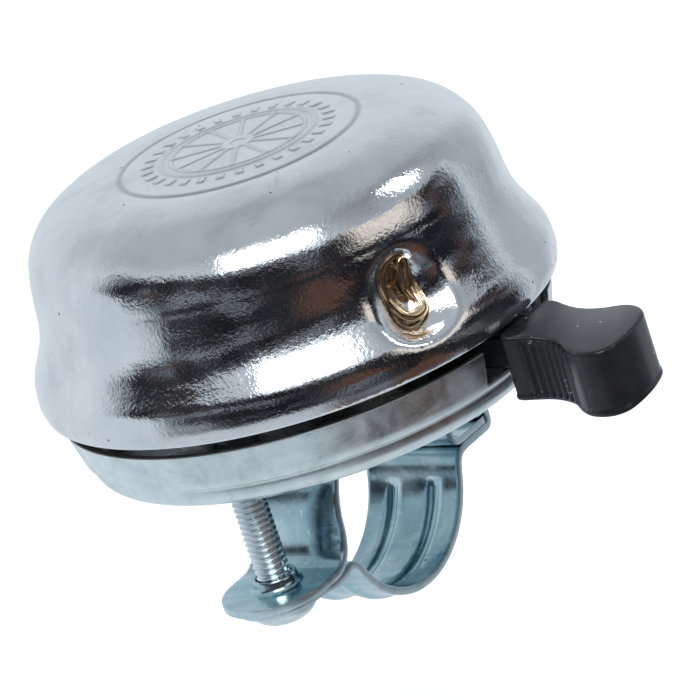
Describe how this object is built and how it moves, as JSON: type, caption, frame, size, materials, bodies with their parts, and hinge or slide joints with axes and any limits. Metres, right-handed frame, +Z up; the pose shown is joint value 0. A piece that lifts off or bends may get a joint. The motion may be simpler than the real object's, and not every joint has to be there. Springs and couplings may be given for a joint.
{
  "type": "bicycle bell",
  "caption": "Rotary thumb bell for a bicycle handlebar: flared chromed dome with striker dimples over a geared base pan, a thumb lever and a hooked strap clamp.",
  "frame": {"origin": "centre of the handlebar bore, in the middle of the clamp band", "axes": "+Z up through the dome's axis, +Y along the handlebar, +X towards the hooked end of the clamp"},
  "size_m": [0.0604, 0.0773, 0.0555],
  "materials": {
    "dome": "chrome plate, slightly orange-peeled",
    "dome_boss": "bright zinc plate",
    "striker_rivets": "worn brass",
    "base_pan": "bright zinc plate",
    "center_post": "bright zinc plate",
    "bridge_plate": "bright zinc plate",
    "bridge_pillars": "bright zinc plate",
    "bridge_screws": "bright zinc plate",
    "lever_pivot_pin": "bright zinc plate",
    "idler_pin": "bright zinc plate",
    "pin_clips": "oiled steel",
    "spring_anchor_pin": "bright zinc plate",
    "lever_return_spring": "oiled steel",
    "thumb_lever": "glossy moulded plastic",
    "idler_washer": "bright zinc plate",
    "idler_gear": "pressed brass",
    "rotor_hub": "turned brass",
    "rotor_bar": "bright zinc plate",
    "rotor_clip": "oiled steel",
    "hammer_pins": "bright zinc plate",
    "hammer_a": "oiled steel",
    "hammer_b": "oiled steel",
    "upper_strap": "bright zinc plate",
    "lower_strap": "bright zinc plate",
    "clamp_screw": "bright zinc plate"
  },
  "bodies": {
    "base": {"base_pan": "base_pan", "center_post": "center_post", "bridge_plate": "bridge_plate", "bridge_pillars": "bridge_pillars", "bridge_screws": "bridge_screws", "lever_pivot_pin": "lever_pivot_pin", "idler_pin": "idler_pin", "pin_clips": "pin_clips", "spring_anchor_pin": "spring_anchor_pin", "lever_return_spring": "lever_return_spring", "idler_washer": "idler_washer", "rotor_clip": "rotor_clip", "upper_strap": "upper_strap"},
    "dome_shell": {"dome": "dome", "dome_boss": "dome_boss", "striker_rivets": "striker_rivets"},
    "lever": {"thumb_lever": "thumb_lever"},
    "idler": {"idler_gear": "idler_gear"},
    "rotor": {"rotor_hub": "rotor_hub", "rotor_bar": "rotor_bar", "hammer_pins": "hammer_pins"},
    "striker_a": {"hammer_a": "hammer_a"},
    "striker_b": {"hammer_b": "hammer_b"},
    "strap": {"lower_strap": "lower_strap"},
    "screw": {"clamp_screw": "clamp_screw"}
  },
  "joints": [
    {"name": "lever_press", "type": "hinge", "parent": "base", "child": "lever", "pos_m": [0.001, -0.019, 0.016], "axis": [0, 0, 1], "range_deg": [0, 28], "stiffness_Nm_per_rad": 0.08, "springref_deg": -20.05},
    {"name": "idler_spin", "type": "hinge", "parent": "base", "child": "idler", "pos_m": [0.01145, -0.00677, 0.017], "axis": [0, 0, 1], "range_deg": [-101, 0]},
    {"name": "rotor_spin", "type": "hinge", "parent": "base", "child": "rotor", "pos_m": [0, 0, 0.02], "axis": [0, 0, 1], "range_deg": [0, 219]},
    {"name": "hammer_a_slide", "type": "slide", "parent": "rotor", "child": "striker_a", "axis": [-0.7314, 0.682, 0], "range_m": [-0.0008, 0.0008]},
    {"name": "hammer_b_slide", "type": "slide", "parent": "rotor", "child": "striker_b", "axis": [0.7314, -0.682, 0], "range_m": [-0.0008, 0.0008]},
    {"name": "dome_lift", "type": "slide", "parent": "base", "child": "dome_shell", "axis": [0, 0, 1], "range_m": [0, 0.026]},
    {"name": "strap_swing", "type": "hinge", "parent": "base", "child": "strap", "pos_m": [0.0182, 0, -0.0001], "axis": [0, -1, 0], "range_deg": [0, 6]},
    {"name": "clamp_screw_travel", "type": "slide", "parent": "base", "child": "screw", "axis": [0, 0, -1], "range_m": [0, 0.0044]}
  ],
  "couplings": [
    {"joint": "idler_spin", "follows": "lever_press", "ratio": -3.6},
    {"joint": "rotor_spin", "follows": "lever_press", "ratio": 7.8},
    {"joint": "clamp_screw_travel", "follows": "strap_swing", "m_per_rad": 0.04106}
  ]
}
